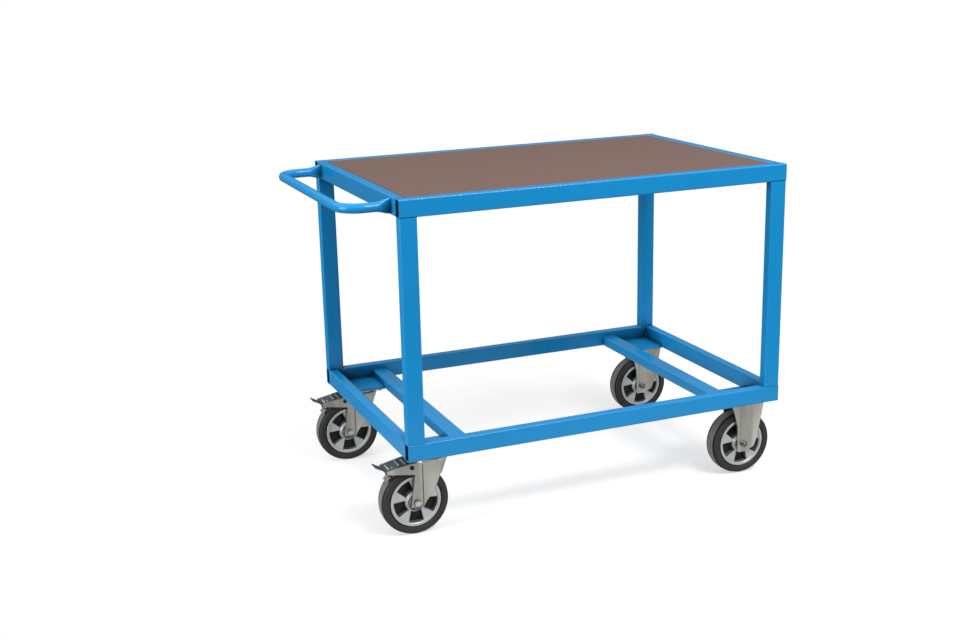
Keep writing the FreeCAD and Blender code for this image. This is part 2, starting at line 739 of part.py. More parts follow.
def build_castors():
    fixed_bolts = []
    fixed_nuts = []
    fixed_tubes = []
    for name, x, y in castor_places():
        if name.endswith("left"):
            axle_x = x - castor_trail
            cheek = fork_half + leg_rib
            pedal = brake_pedal()
            save("swivel_plate_" + name, placed(swivel_plate(), x, y))
            save("king_pin_" + name, placed(king_pin(), x, y))
            save("swivel_balls_" + name, placed(swivel_balls(), x, y))
            save("swivel_fork_" + name, placed(swivel_fork(), x, y))
            save("brake_pedal_" + name, placed(pedal, x, y))
            save("pedal_pin_" + name, placed(pedal_pin(), x, y))
            save("brake_shoe_" + name, placed(brake_shoe(pedal), x, y))
            save("axle_bolt_" + name, placed(axle_bolt(-1, cheek), axle_x, y, axle_z))
            save("axle_nut_" + name, placed(axle_nut(-1, cheek), axle_x, y, axle_z))
            save("axle_tube_" + name, placed(axle_tube(), axle_x, y, axle_z))
            build_wheel(name, axle_x, y)
        else:
            save("fixed_fork_" + name, placed(fixed_fork(), x, y))
            fixed_bolts.append(placed(axle_bolt(1, fork_half), x, y, axle_z))
            fixed_nuts.append(placed(axle_nut(1, fork_half), x, y, axle_z))
            fixed_tubes.append(placed(axle_tube(), x, y, axle_z))
            build_wheel(name, x, y)
    save("fixed_axle_bolts", fixed_bolts)
    save("fixed_axle_nuts", fixed_nuts)
    save("fixed_axle_tubes", fixed_tubes)


os.makedirs("parts", exist_ok=True)
build_frame()
build_mount_plates()
build_castor_bolts()
build_worktop()
build_handle()
build_castors()
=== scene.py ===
"""Mobile workbench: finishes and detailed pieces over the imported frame, in metres."""
import json
import math

import bmesh
import bpy
from mathutils import Matrix, Vector


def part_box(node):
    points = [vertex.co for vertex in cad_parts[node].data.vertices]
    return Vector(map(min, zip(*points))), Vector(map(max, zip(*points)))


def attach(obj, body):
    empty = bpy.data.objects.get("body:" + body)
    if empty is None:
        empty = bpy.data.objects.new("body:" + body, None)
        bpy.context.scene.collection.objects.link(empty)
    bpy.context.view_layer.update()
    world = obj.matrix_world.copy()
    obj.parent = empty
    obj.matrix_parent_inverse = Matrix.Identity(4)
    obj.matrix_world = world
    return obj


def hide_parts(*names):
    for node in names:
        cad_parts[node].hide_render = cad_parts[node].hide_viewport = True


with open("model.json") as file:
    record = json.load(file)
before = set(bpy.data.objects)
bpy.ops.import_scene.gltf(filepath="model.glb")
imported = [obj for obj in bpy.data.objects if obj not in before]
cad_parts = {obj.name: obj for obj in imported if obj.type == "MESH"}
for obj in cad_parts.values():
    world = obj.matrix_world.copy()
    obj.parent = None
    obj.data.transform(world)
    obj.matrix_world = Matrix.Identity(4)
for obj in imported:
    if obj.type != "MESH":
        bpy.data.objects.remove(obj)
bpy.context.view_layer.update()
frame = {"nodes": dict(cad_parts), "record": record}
nodes = frame["nodes"]
MM = 0.001

SWIVEL = ("front_left", "rear_left")
FIXED = ("front_right", "rear_right")

# Sizes in millimetres that several pieces share
SWIVEL_CHEEK, FIXED_CHEEK = 35.0, 34.0
AXLE_FLATS, AXLE_RADIUS, AXLE_NUT_HEIGHT = 18.0, 6.0, 10.0
CASTOR_HEAD_HEIGHT = 5.3
PEDAL_LENGTH, PEDAL_SHEET = 76.0, 3.0
PEDAL_RISE, PEDAL_FALL, PEDAL_CROWN = 10.5, 15.0, 4.5

# Numbers of a mix node's sockets: two colours and their mix, two values and theirs
COLOUR_A, COLOUR_B, COLOUR_MIX = 6, 7, 2
VALUE_A, VALUE_B, VALUE_MIX = 2, 3, 0


# Colour and node helpers
def linear(hex_colour):
    """An sRGB hex colour as linear RGBA."""
    channels = [int(hex_colour[start:start + 2], 16) / 255 for start in (1, 3, 5)]
    return [c / 12.92 if c <= 0.04045 else ((c + 0.055) / 1.055) ** 2.4 for c in channels] + [1.0]


def add_node(tree, kind, inputs=None, **settings):
    """Add a node; an input is a plain value or another node's output socket."""
    made = tree.nodes.new(kind)
    for name, value in settings.items():
        setattr(made, name, value)
    for name, value in (inputs or {}).items():
        if isinstance(value, bpy.types.NodeSocket):
            tree.links.new(value, made.inputs[name])
        else:
            made.inputs[name].default_value = value
    return made


def new_material(name, **shader_values):
    """A material, its nodes, its shader with plain values set, and the place of a point on the piece."""
    material = bpy.data.materials.new(name)
    material.use_nodes = True
    tree = material.node_tree
    shader = tree.nodes["Principled BSDF"]
    for socket, value in shader_values.items():
        shader.inputs[socket.replace("_", " ")].default_value = value
    place = add_node(tree, "ShaderNodeTexCoord").outputs["Object"]
    return material, tree, shader, place


def mottle(tree, place, patch, dark, light, detail=2.0):
    """A colour that wanders between two hex colours, in patches of a size in millimetres."""
    patches = add_node(tree, "ShaderNodeTexNoise", {"Vector": place, "Scale": 1 / (patch * MM),
                                                    "Detail": detail})
    mix = add_node(tree, "ShaderNodeMix", {"Factor": patches.outputs["Fac"], COLOUR_A: linear(dark),
                                           COLOUR_B: linear(light)}, data_type="RGBA")
    return mix.outputs[COLOUR_MIX]


def finish_surface(tree, shader, place, colour, gloss, grain, edge):
    """Join a colour to the shader, with roughness that varies and a fine relief over rounded edges.

    gloss is (patch size, lowest, highest roughness), grain is (grain size, depth) and edge is a radius.
    """
    tree.links.new(colour, shader.inputs["Base Color"])
    patch, low, high = gloss
    patches = add_node(tree, "ShaderNodeTexNoise", {"Vector": place, "Scale": 1 / (patch * MM)})
    rough = add_node(tree, "ShaderNodeMapRange", {"Value": patches.outputs["Fac"], "To Min": low,
                                                  "To Max": high})
    tree.links.new(rough.outputs["Result"], shader.inputs["Roughness"])
    size, depth = grain
    grains = add_node(tree, "ShaderNodeTexNoise", {"Vector": place, "Scale": 1 / (size * MM)})
    soft_edge = add_node(tree, "ShaderNodeBevel", {"Radius": edge * MM}, samples=12)
    relief = add_node(tree, "ShaderNodeBump", {"Height": grains.outputs["Fac"], "Distance": depth * MM,
                                               "Normal": soft_edge.outputs["Normal"]})
    tree.links.new(relief.outputs["Normal"], shader.inputs["Normal"])


# Materials, with pattern sizes in millimetres
def blue_paint():
    """Semi-gloss powder coat on tube: faint orange peel, a slow drift of tone, and painted shade darkening
    its inner corners.
    """
    material, tree, shader, place = new_material("blue_powder_coat", Specular_IOR_Level=0.05, Coat_Weight=0.6,
                                                 Coat_Roughness=0.16, Coat_IOR=1.4)
    painted_shade_reach, shut, clear = 110.0, 0.38, 0.8
    coat = mottle(tree, place, patch=160.0, dark="#1482bd", light="#1888c6")
    # Painted shade: where the surroundings close in, the coat is mixed toward a dark blue
    openness = add_node(tree, "ShaderNodeAmbientOcclusion", {"Distance": painted_shade_reach * MM}, samples=6)
    lit = add_node(tree, "ShaderNodeMapRange", {"Value": openness.outputs["AO"], "From Min": shut,
                                                "From Max": clear})
    mix = add_node(tree, "ShaderNodeMix", {"Factor": lit.outputs["Result"], COLOUR_A: linear("#062c42"),
                                           COLOUR_B: coat}, data_type="RGBA")
    colour = mix.outputs[COLOUR_MIX]
    finish_surface(tree, shader, place, colour, gloss=(35.0, 0.26, 0.36), grain=(1.8, 0.01), edge=2.6)
    return material


def brown_board():
    """Phenolic film pressed on plywood: satin brown with a fine mottle."""
    material, tree, shader, place = new_material("brown_film_face", Specular_IOR_Level=0.25)
    colour = mottle(tree, place, patch=14.0, dark="#614b43", light="#6c564e", detail=6.0)
    finish_surface(tree, shader, place, colour, gloss=(60.0, 0.5, 0.62), grain=(0.9, 0.01), edge=0.6)
    return material


def pressed_zinc():
    """Zinc-plated pressed steel: satin, with upright light and dark streaks of painted reflection."""
    material, tree, shader, place = new_material("zinc_pressed_steel", Metallic=0.9)
    # The streaks between a darker and a lighter zinc are painted reflection: the bands of light and dark that
    # a curved metal nose shows
    streak_width, streak_length = 40.0, 320.0
    weakest, strongest = 0.35, 0.65
    drawn = add_node(tree, "ShaderNodeMapping", {"Vector": place,
                                                 "Scale": (1.0, 1.0, streak_width / streak_length)})
    streaks = add_node(tree, "ShaderNodeTexNoise", {"Vector": drawn.outputs["Vector"], "Detail": 1.0,
                                                    "Scale": 1 / (streak_width * MM)})
    painted_reflection_share = add_node(tree, "ShaderNodeMapRange", {"Value": streaks.outputs["Fac"], "From Min": weakest,
                                                 "From Max": strongest})
    mix = add_node(tree, "ShaderNodeMix", {"Factor": painted_reflection_share.outputs["Result"], COLOUR_A: linear("#abaaa1"),
                                           COLOUR_B: linear("#d2d1c7")}, data_type="RGBA")
    colour = mix.outputs[COLOUR_MIX]
    # The crystals of the plating are finer than 0.1 mm, and are drawn coarser so that they show close up
    finish_surface(tree, shader, place, colour, gloss=(6.0, 0.30, 0.40), grain=(0.8, 0.01), edge=0.8)
    return material


def zinc_plate(name, dark, light, rough):
    """Zinc plate on bolts and nuts, in a bright and a darker, duller copy: painted light on the bolts' end
    faces, painted shade on flanks, threads and nuts.
    """
    material, tree, shader, place = new_material(name, Metallic=0.9)
    spread = 0.06
    colour = mottle(tree, place, patch=4.0, dark=dark, light=light)
    # The crystals of the plating are drawn coarser here too
    finish_surface(tree, shader, place, colour, gloss=(2.0, rough - spread, rough + spread),
                   grain=(0.5, 0.006), edge=0.5)
    return material


def cast_aluminium():
    """Die-cast aluminium: pale and half bright, with the fine grain of its die."""
    material, tree, shader, place = new_material("cast_aluminium", Metallic=0.6)
    colour = mottle(tree, place, patch=9.0, dark="#b4b7b7", light="#c5c8c7", detail=4.0)
    finish_surface(tree, shader, place, colour, gloss=(3.0, 0.32, 0.45), grain=(0.7, 0.015), edge=0.8)
    return material


def pocket_aluminium(name, dark, light):
    """Die-cast aluminium in the rim's pockets: dark and dull."""
    material, tree, shader, place = new_material(name, Specular_IOR_Level=0.3)
    colour = mottle(tree, place, patch=7.0, dark=dark, light=light, detail=4.0)
    finish_surface(tree, shader, place, colour, gloss=(3.0, 0.35, 0.55), grain=(0.9, 0.02), edge=0.8)
    return material


def rubber(name, dark, light, rough):
    """Moulded solid rubber: dull and dark, with the fine grain of its mould."""
    material, tree, shader, place = new_material(name, Specular_IOR_Level=0.4)
    spread = 0.06
    colour = mottle(tree, place, patch=18.0, dark=dark, light=light, detail=4.0)
    # The mould's grain is about 0.2 mm, and is drawn coarser so that it shows close up
    finish_surface(tree, shader, place, colour, gloss=(5.0, rough - spread, rough + spread),
                   grain=(0.6, 0.03), edge=0.8)
    return material


def pedal_paint():
    """Dark slate stove enamel on pressed steel: half gloss, with soft clouds of shade."""
    material, tree, shader, place = new_material("dark_pedal_enamel", Specular_IOR_Level=0.4)
    colour = mottle(tree, place, patch=12.0, dark="#2c3236", light="#434b50")
    finish_surface(tree, shader, place, colour, gloss=(4.0, 0.28, 0.42), grain=(1.0, 0.02), edge=0.8)
    return material


def black_oxide():
    """Black oxide on steel: nearly black, with a dull glint."""
    material, tree, shader, place = new_material("black_oxide_steel", Metallic=0.3)
    colour = mottle(tree, place, patch=3.0, dark="#141516", light="#222425")
    finish_surface(tree, shader, place, colour, gloss=(1.5, 0.35, 0.5), grain=(0.5, 0.006), edge=0.5)
    return material


def bearing_steel():
    """Ground bearing steel: smooth grey metal with a close gloss."""
    material, tree, shader, place = new_material("bearing_steel", Metallic=0.9)
    colour = mottle(tree, place, patch=5.0, dark="#8d8f90", light="#a4a6a7")
    # Grinding marks are finer than 0.1 mm, and are drawn coarser so that they show close up
    finish_surface(tree, shader, place, colour, gloss=(1.5, 0.18, 0.30), grain=(0.4, 0.004), edge=0.4)
    return material


finish = {
    "blue_paint": blue_paint(),
    "brown_film_board": brown_board(),
    "zinc_pressed_steel": pressed_zinc(),
    # The bolts' bright zinc is a lit copy of the darker zinc below: painted light
    "zinc_hardware": zinc_plate("zinc_hardware", "#c6c6c0", "#dadad4", 0.24),
    "cast_aluminium": cast_aluminium(),
    "black_rubber": rubber("black_rubber_sidewall", "#252524", "#2d2d2b", 0.6),
    "dark_pedal_paint": pedal_paint(),
    "bearing_steel": bearing_steel(),
}
pocket_floor_finish = pocket_aluminium("cast_pocket_floor", "#141617", "#222526")
pocket_wall_finish = pocket_aluminium("cast_pocket_wall", "#4c5051", "#5d6162")
# A lighter grey copy of the rubber on the tread is painted light, and a near-black copy in the grooves is
# painted shade
tread_painted_light = rubber("rubber_tread_painted_light", "#616261", "#6f706f", 0.42)
groove_painted_shade = rubber("rubber_groove_painted_shade", "#090909", "#101010", 0.66)
# Black oxide for the pedal pins, also used for the painted shade of the swivel forks' seams
black_oxide_and_seam_shade = black_oxide()
# The darker, duller copy of the zinc: painted shade
shaded_zinc_finish = zinc_plate("zinc_shaded_copy", "#6a6a66", "#83837e", 0.42)

for part in frame["record"]["subparts"]:
    mesh = nodes[part["node"]].data
    mesh.materials.clear()
    mesh.materials.append(finish[part["material_slot"]])


# Shapes in millimetres, each as (points, faces, paint number of each face)
def joined(shapes):
    """Several shapes as one."""
    points, faces, paints = [], [], []
    for shape_points, shape_faces, shape_paints in shapes:
        start = len(points)
        points += shape_points
        faces += [tuple(start + index for index in face) for face in shape_faces]
        paints += shape_paints
    return points, faces, paints


def moved(shape, matrix):
    """A shape in another place."""
    points, faces, paints = shape
    return [matrix @ Vector(point) for point in points], faces, paints


def painted(shape, paint):
    """A shape with one paint all over."""
    points, faces, paints = shape
    return points, faces, [paint] * len(paints)


def grid_faces(rows, columns, close_rows, close_columns):
    """Quads over rows of points, closed round in either direction."""
    faces = []
    for row in range(rows if close_rows else rows - 1):
        for column in range(columns if close_columns else columns - 1):
            below = (row + 1) % rows * columns
            beside = (column + 1) % columns
            faces.append((row * columns + column, row * columns + beside, below + beside, below + column))
    return faces


def capped(rings):
    """A solid through rings of points, closed at its two ends."""
    count = len(rings[0])
    faces = grid_faces(len(rings), count, False, True)
    last = count * (len(rings) - 1)
    faces += [tuple(range(count)), tuple(range(last, last + count))]
    return [point for ring in rings for point in ring], faces, [0] * len(faces)


def circle(radius, y, steps):
    """A ring of points round the Y axis; the radius and the height may depend on the turn."""
    ring = []
    for step in range(steps):
        turn = 2 * math.pi * step / steps
        reach = radius(turn) if callable(radius) else radius
        height = y(turn) if callable(y) else y
        ring.append((reach * math.cos(turn), height, reach * math.sin(turn)))
    return ring


def turned(profile, steps=40):
    """A solid turned about the Y axis from an open (radius, y) profile."""
    return capped([circle(radius, y, steps) for radius, y in profile])


def ringed(profile, steps, paint):
    """A ring turned about the Y axis from a closed (radius, y) profile, painted by each row's middle."""
    points = [point for radius, y in profile for point in circle(radius, y, steps)]
    paints = []
    for index, (radius, y) in enumerate(profile):
        next_radius, next_y = profile[(index + 1) % len(profile)]
        paints += [paint((radius + next_radius) / 2, (y + next_y) / 2)] * steps
    return points, grid_faces(len(profile), steps, True, True), paints


def hexagon(flats, bore, y0, y1, steps=48):
    """A hexagonal head or nut from y0 to y1, its far corners chamfered as if turned."""
    apothem = flats / 2
    round_share, countersink, chamfer = 0.96, 0.4, math.radians(30)
    round_radius = round_share * apothem
    slope = math.copysign(math.tan(chamfer), y1 - y0)

    def corner(turn):
        return apothem / math.cos((turn + math.pi / 6) % (math.pi / 3) - math.pi / 6)

    def shoulder(turn):
        return y1 - slope * (corner(turn) - round_radius)

    rings = [circle(bore, y0, steps), circle(corner, y0, steps), circle(corner, shoulder, steps),
             circle(round_radius, y1, steps), circle(bore + countersink, y1, steps)]
    points = [point for ring in rings for point in ring]
    # Paint 1 covers the underside, flanks and chamfer, and paint 0 the end face and the bore; with the bolts'
    # two zincs this paints light on the end face and shade on the rest
    paints = [1] * 3 * steps + [0] * 2 * steps
    return points, grid_faces(len(rings), steps, True, True), paints


def rounded_block(size, radius):
    """A block about the origin with every edge rounded."""
    work = bmesh.new()
    bmesh.ops.create_cube(work, size=1.0)
    bmesh.ops.scale(work, vec=size, verts=work.verts)
    bmesh.ops.bevel(work, geom=work.edges[:], offset=radius, segments=3, profile=0.5, affect="EDGES")
    work.verts.index_update()
    points = [vert.co.copy() for vert in work.verts]
    faces = [tuple(vert.index for vert in face.verts) for face in work.faces]
    work.free()
    return points, faces, [0] * len(faces)


def make_mesh(name, shape, materials, crease_degrees=32.0):
    """A mesh of a shape, smooth but for edges sharper than the crease."""
    points, faces, paints = shape
    mesh = bpy.data.meshes.new(name)
    mesh.from_pydata([Vector(point) * MM for point in points], [], faces)
    for material in materials:
        mesh.materials.append(material)
    mesh.polygons.foreach_set("material_index", paints)
    work = bmesh.new()
    work.from_mesh(mesh)
    bmesh.ops.recalc_face_normals(work, faces=work.faces[:])
    work.to_mesh(mesh)
    work.free()
    mesh.polygons.foreach_set("use_smooth", [True] * len(mesh.polygons))
    mesh.set_sharp_from_angle(angle=math.radians(crease_degrees))
    return mesh


def add_piece(name, mesh, body, replaced=(), place=(0.0, 0.0, 0.0)):
    """Put a piece in place, on its body, in the stead of the nodes it replaces."""
    piece = bpy.data.objects.new(name, mesh)
    bpy.context.collection.objects.link(piece)
    piece.location = place
    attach(piece, body)
    if replaced:
        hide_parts(*replaced)
    return piece


def middle(node):
    """The middle of a node's box, in metres."""
    low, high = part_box(node)
    return (low + high) / 2


# Wheels
def tyre_shape():
    """Crowned tread between two grooves, round shoulders, and a groove beside the rim."""
    tread = [(100.0, 0.0), (99.9, 6.0), (99.7, 11.0), (99.4, 14.0), (98.8, 16.5)]
    tread_groove = [(95.8, 17.4), (95.2, 18.6), (95.4, 20.2), (97.2, 21.3)]
    side = [(97.0, 22.4), (95.6, 23.8), (92.5, 24.7), (87.0, 25.0), (81.0, 25.0), (79.5, 24.7), (78.7, 23.8)]
    rim_groove = [(78.0, 22.2), (77.2, 21.7), (76.4, 22.3), (75.9, 23.2), (75.4, 23.2), (75.1, 22.6)]
    half = tread + tread_groove + side + rim_groove
    profile = [(radius, -y) for radius, y in reversed(half[1:])] + half
    tread_radius, tread_half_width = 98.4, 14.0
    groove_floor, groove_start, groove_end = 95.0, 16.5, 21.2
    rim_groove_inside, rim_groove_outside = 76.2, 79.0

    # Paint 1, the lighter tread, is painted light; paint 2, the near-black grooves, is painted shade
    def paint(radius, y):
        if radius > tread_radius and abs(y) < tread_half_width:
            return 1
        in_tread_groove = radius > groove_floor and groove_start < abs(y) < groove_end
        in_rim_groove = rim_groove_inside < radius < rim_groove_outside
        return 2 if in_tread_groove or in_rim_groove else 0

    return ringed(profile, steps=120, paint=paint)


def rim_shape():
    """A five-spoke cast rim: bright lip and spokes round deep dark pockets, alike on both sides."""
    face, floor = 20.5, 5.0
    bore, outside = 21.0, 75.0
    pocket_in, pocket_out = 31.0, 65.4
    narrow, wide = 14.5, 22.5
    draft = 0.9
    hub_end = 26.5
    lip = [(outside, 0.0), (outside, 22.8), (74.3, 23.5), (67.9, 23.5), (67.2, 23.0), (66.4, 20.9),
           (65.9, face)]
    hub = [(30.0, face), (28.6, 21.2), (27.5, 23.0), (27.0, 27.2), (26.2, 28.0), (21.7, 28.0), (bore, 27.3)]
    well = [pocket_out - draft, 59.0, 50.0, 41.0, pocket_in + draft]
    stations = [(radius, y, False) for radius, y in lip + [(pocket_out, face)]]
    stations += [(radius, face, True) for radius in well]
    stations += [(radius, y, False) for radius, y in [(pocket_in, face)] + hub + [(bore, 0.0)]]
    stations += [(radius, -y, in_well) for radius, y, in_well in reversed(stations[1:-1])]
    spokes, spoke_steps, pocket_steps = 5, 6, 10
    half_sector = math.pi / spokes
    points, deep = [], []
    for radius, y, in_well in stations:
        reach = min(max(radius, pocket_in), pocket_out)
        share = (reach - pocket_in) / (pocket_out - pocket_in)
        half_turn = math.asin((narrow + share * (wide - narrow)) / reach)
        edge = draft / reach
        turns = [half_turn * (2 * step / pocket_steps - 1) for step in range(pocket_steps + 1)]
        floor_turns = len(turns)
        spoke = 2 * (half_sector - half_turn - edge)
        turns += [half_turn + edge + spoke * step / spoke_steps for step in range(spoke_steps + 1)]
        for sector in range(spokes):
            for index, turn in enumerate(turns):
                angle = -math.pi / 2 + 2 * half_sector * sector + turn
                sunk = in_well and index < floor_turns
                height = math.copysign(floor, y) if sunk else y
                points.append((radius * math.cos(angle), height, radius * math.sin(angle)))
                deep.append(sunk)
    columns = len(points) // len(stations)
    faces = grid_faces(len(stations), columns, True, True)
    paints = []
    for quad in faces:
        sunk = [deep[index] for index in quad]
        on_hub = all(math.hypot(points[index][0], points[index][2]) < hub_end for index in quad)
        paints.append(1 if all(sunk) else 2 if any(sunk) or on_hub else 0)
    return points, faces, paints


def add_wheels():
    tyre_paints = [finish["black_rubber"], tread_painted_light, groove_painted_shade]
    rim_paints = [finish["cast_aluminium"], pocket_floor_finish, pocket_wall_finish]
    tyre = make_mesh("tyre_detail", tyre_shape(), tyre_paints, crease_degrees=40.0)
    rim = make_mesh("rim_detail", rim_shape(), rim_paints)
    for name in SWIVEL + FIXED:
        place = middle("tyre_" + name)
        body = "wheel_" + name
        add_piece("moulded_tyre_" + name, tyre, body, ["tyre_" + name], place)
        add_piece("cast_rim_" + name, rim, body, ["rim_" + name], place)


# Fasteners
def thread_profile(radius, y0, y1, pitch=1.75, depth=0.7):
    """The (radius, y) outline of a threaded end with a chamfered tip."""
    way = math.copysign(1.0, y1 - y0)
    crest, root = 0.3, 0.65
    profile = [(radius, y0)]
    for turn in range(int(abs(y1 - y0) / pitch)):
        start = y0 + way * turn * pitch
        profile += [(radius, start + way * crest * pitch), (radius - depth, start + way * root * pitch)]
    return profile + [(radius - depth, y1 - way * depth), (radius - 2 * depth, y1)]


def axle_bolt_shape(head_side, cheek):
    """Hexagon bolt through both cheeks, with its thread showing beyond the nut."""
    head_height, pinhole, run_out, spare = 7.5, 0.3, 1.0, 3.0
    end = cheek + AXLE_NUT_HEIGHT + spare
    head = hexagon(AXLE_FLATS, pinhole, head_side * cheek, head_side * (cheek + head_height))
    shank = turned([(AXLE_RADIUS, head_side * cheek), (AXLE_RADIUS, -head_side * (cheek - run_out))]
                   + thread_profile(AXLE_RADIUS, -head_side * cheek, -head_side * end))
    # The shank and its thread take paint 1, the darker zinc of painted shade
    return joined([head, painted(shank, 1)])


def axle_nut_shape(head_side, cheek):
    thread_gap = 0.1
    return hexagon(AXLE_FLATS, AXLE_RADIUS + thread_gap, -head_side * cheek,
                   -head_side * (cheek + AXLE_NUT_HEIGHT))


def castor_bolt_shape():
    """A bolt that hangs head down, its underside at z 0."""
    flats, pinhole, radius, length, chamfer = 13.0, 0.3, 4.0, 12.0, 1.0
    head = hexagon(flats, pinhole, 0.0, -CASTOR_HEAD_HEIGHT)
    shank = turned([(radius, 0.0), (radius, length - chamfer), (radius - chamfer, length)])
    return moved(joined([head, shank]), Matrix.Rotation(math.radians(90), 4, "X"))


def pedal_pin_shape():
    """A pin through both cheeks, its two ends riveted over with a dimple."""
    radius, head_radius = 4.0, 6.5
    riveted = [(radius, 0.0), (head_radius, 0.0), (head_radius, 1.6), (6.0, 2.4), (4.4, 2.6), (3.2, 1.2)]
    half = [(reach, SWIVEL_CHEEK + out) for reach, out in riveted]
    return turned([(reach, -y) for reach, y in reversed(half)] + half)


def add_fasteners():
    # Bright zinc on the bolts' end faces is painted light; the darker copy on flanks, threads, nuts and
    # castor bolts is painted shade
    zinc = [finish["zinc_hardware"], shaded_zinc_finish]
    dull = [shaded_zinc_finish, shaded_zinc_finish]
    bolt = make_mesh("axle_bolt", axle_bolt_shape(-1, SWIVEL_CHEEK), zinc)
    nut = make_mesh("axle_nut", axle_nut_shape(-1, SWIVEL_CHEEK), dull)
    pin = make_mesh("pedal_pin", pedal_pin_shape(), [black_oxide_and_seam_shade])
    for name in SWIVEL:
        place = middle("tyre_" + name)
        body = "fork_" + name
        add_piece("axle_hexagon_bolt_" + name, bolt, body, ["axle_bolt_" + name], place)
        add_piece("axle_hexagon_nut_" + name, nut, body, ["axle_nut_" + name], place)
        add_piece("pedal_pivot_pin_" + name, pin, body, ["pedal_pin_" + name],
                  middle("pedal_pin_" + name))
    places = [middle("tyre_" + name) / MM for name in FIXED]
    bolts = [moved(axle_bolt_shape(1, FIXED_CHEEK), Matrix.Translation(place)) for place in places]
    nuts = [moved(axle_nut_shape(1, FIXED_CHEEK), Matrix.Translation(place)) for place in places]
    add_piece("fixed_axle_hexagon_bolts", make_mesh("fixed_axle_bolts", joined(bolts), zinc), "frame",
              ["fixed_axle_bolts"])
    add_piece("fixed_axle_hexagon_nuts", make_mesh("fixed_axle_nuts", joined(nuts), dull), "frame",
              ["fixed_axle_nuts"])
    pitch_x, pitch_y = 100.0, 84.0
    plate_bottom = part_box("castor_bolts")[0].z / MM + CASTOR_HEAD_HEIGHT
    middles = [middle("swivel_plate_" + name) / MM for name in SWIVEL] + places
    castor_bolts = []
    for place in middles:
        for across in (-pitch_y / 2, pitch_y / 2):
            for along in (-pitch_x / 2, pitch_x / 2):
                spot = Vector((place.x + along, place.y + across, plate_bottom))
                castor_bolts.append(moved(castor_bolt_shape(), Matrix.Translation(spot)))
    # The castor bolts are all in the darker zinc, as painted shade
    add_piece("castor_hexagon_bolts", make_mesh("castor_bolts", joined(castor_bolts), dull), "frame",
              ["castor_bolts"])


# Push handle
def handle_shape():
    """Round tube bent twice, each end pressed to an upright flat and welded to the end rail."""
    low, high = (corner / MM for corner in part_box("push_handle"))
    tube_radius, bend, straight = 13.45, 60.0, 10.0
    flat_height, flat_thickness, flare, weld = 21.0, 3.6, 40.0, 3.0
    flare_steps, bend_steps, sides = 16, 12, 48
    z = (low.z + high.z) / 2
    arm_y = high.y - tube_radius
    grip_x = low.x + tube_radius
    end_x = high.x
    line = [(end_x, -arm_y, 1, 0), (end_x - weld, -arm_y, 1, 0)]
    line += [(end_x - weld - flare * step / flare_steps, -arm_y, 1, 0) for step in range(1, flare_steps + 1)]
    line.append((grip_x + bend + straight, -arm_y, 1, 0))
    for step in range(bend_steps + 1):
        turn = math.radians(90 * step / bend_steps)
        line.append((grip_x + bend - bend * math.sin(turn), -arm_y + bend - bend * math.cos(turn),
                     math.cos(turn), -math.sin(turn)))
    line += [(x, -y, -along_x, along_y) for x, y, along_x, along_y in reversed(line)]
    rings = []
    for x, y, along_x, along_y in line:
        share = min(1.0, max(0.0, (end_x - weld - x) / flare))
        ease = share * share * (3 - 2 * share)
        up = flat_height + (tube_radius - flat_height) * ease
        across = flat_thickness + (tube_radius - flat_thickness) * ease
        ring = []
        for step in range(sides):
            turn = 2 * math.pi * step / sides
            side = across * math.cos(turn)
            ring.append((x - along_y * side, y + along_x * side, z + up * math.sin(turn)))
        rings.append(ring)
    return capped(rings)


def add_handle():
    mesh = make_mesh("handle_tube", handle_shape(), [finish["blue_paint"]], crease_degrees=50.0)
    add_piece("bent_handle_tube", mesh, "frame", ["push_handle"])


# Brake pedals
def pedal_top(behind):
    """Height of the pedal's tread above its pivot, behind the pivot; it bends once in the middle."""
    half = PEDAL_LENGTH / 2
    if behind < half:
        return PEDAL_RISE - max(0.0, behind) / half * (PEDAL_FALL / 2 - PEDAL_CROWN)
    return PEDAL_RISE - PEDAL_FALL / 2 + PEDAL_CROWN - (behind - half) / half * (PEDAL_FALL / 2 + PEDAL_CROWN)


def pedal_shape():
    """A pressed channel about its pivot: flat tread, round shoulders, sides deep at the pivot."""
    half_width, shoulder, lug, lip = 27.7, 4.0, 7.5, 1.0
    side_depth, side_taper = 10.0, 5.0
    half_length = PEDAL_LENGTH / 2
    steps = 30
    rings = []
    for step in range(steps + 1):
        behind = -lug + (PEDAL_LENGTH + lug) * step / steps
        top = pedal_top(behind) - PEDAL_SHEET / 2
        shallow = top - side_depth + side_taper * max(0.0, behind - half_length) / half_length
        deep = -math.sqrt(max(0.0, lug * lug - behind * behind)) if behind < lug else 0.0
        ease = min(1.0, max(0.0, behind / (PEDAL_LENGTH / 3)))
        bottom = min(top - shoulder - lip, (deep - lip) * (1 - ease) + shallow * ease)
        half_ring = [(half_width, bottom), (half_width, (bottom + top - shoulder) / 2)]
        for turn in range(0, 91, 15):
            half_ring.append((half_width - shoulder + shoulder * math.cos(math.radians(turn)),
                              top - shoulder + shoulder * math.sin(math.radians(turn))))
        half_ring.append((half_width / 2, top))
        across = half_ring + [(0.0, top)] + [(-y, z) for y, z in reversed(half_ring)]
        rings.append([(-behind, y, z) for y, z in across])
    points = [point for ring in rings for point in ring]
    faces = grid_faces(len(rings), len(rings[0]), False, False)
    return points, faces, [0] * len(faces)


def blade_shape():
    """The toe blade that rises behind the pedal."""
    length, rise, width, edge_round = 30.0, 16.0, 34.0, 1.0
    behind, drop = 86.0, 1.0
    blade = rounded_block((math.hypot(length, rise), width, PEDAL_SHEET), edge_round)
    spot = Vector((-behind, 0.0, PEDAL_RISE - PEDAL_FALL - drop + rise / 2))
    return moved(blade, Matrix.Translation(spot) @ Matrix.Rotation(math.atan2(rise, length), 4, "Y"))


